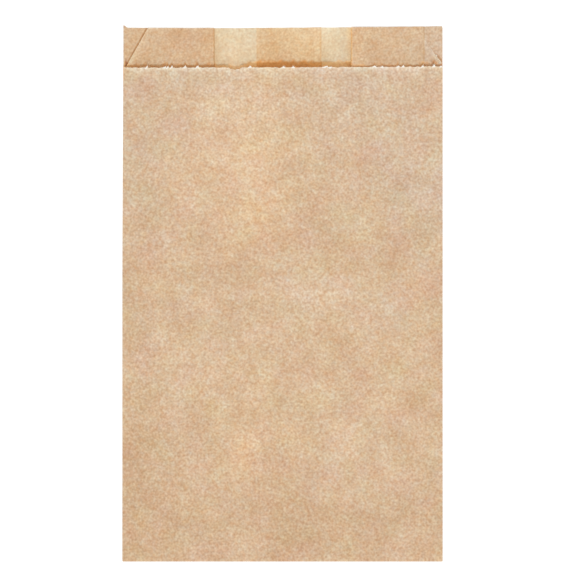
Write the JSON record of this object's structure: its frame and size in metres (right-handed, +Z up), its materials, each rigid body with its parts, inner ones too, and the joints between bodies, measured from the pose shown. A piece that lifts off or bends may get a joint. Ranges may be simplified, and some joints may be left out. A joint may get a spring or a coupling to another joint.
{
  "type": "paper bag",
  "caption": "Flat kraft paper bag with side gussets, a folded bottom, a lapped back seam and a saw-tooth mouth that leaves a lip of the back panel standing.",
  "frame": {"origin": "on the floor under the middle of the bag's outline, as it lies on its back", "axes": "+Y towards the mouth, +Z up through the front panel, +X to the right as the front is seen with the mouth at the top"},
  "size_m": [0.15, 0.2514, 0.0066],
  "materials": {
    "kraft_paper": "matte unbleached kraft with fine fibres"
  },
  "bodies": {
    "root": {"paper_bag": "kraft_paper"}
  },
  "joints": []
}
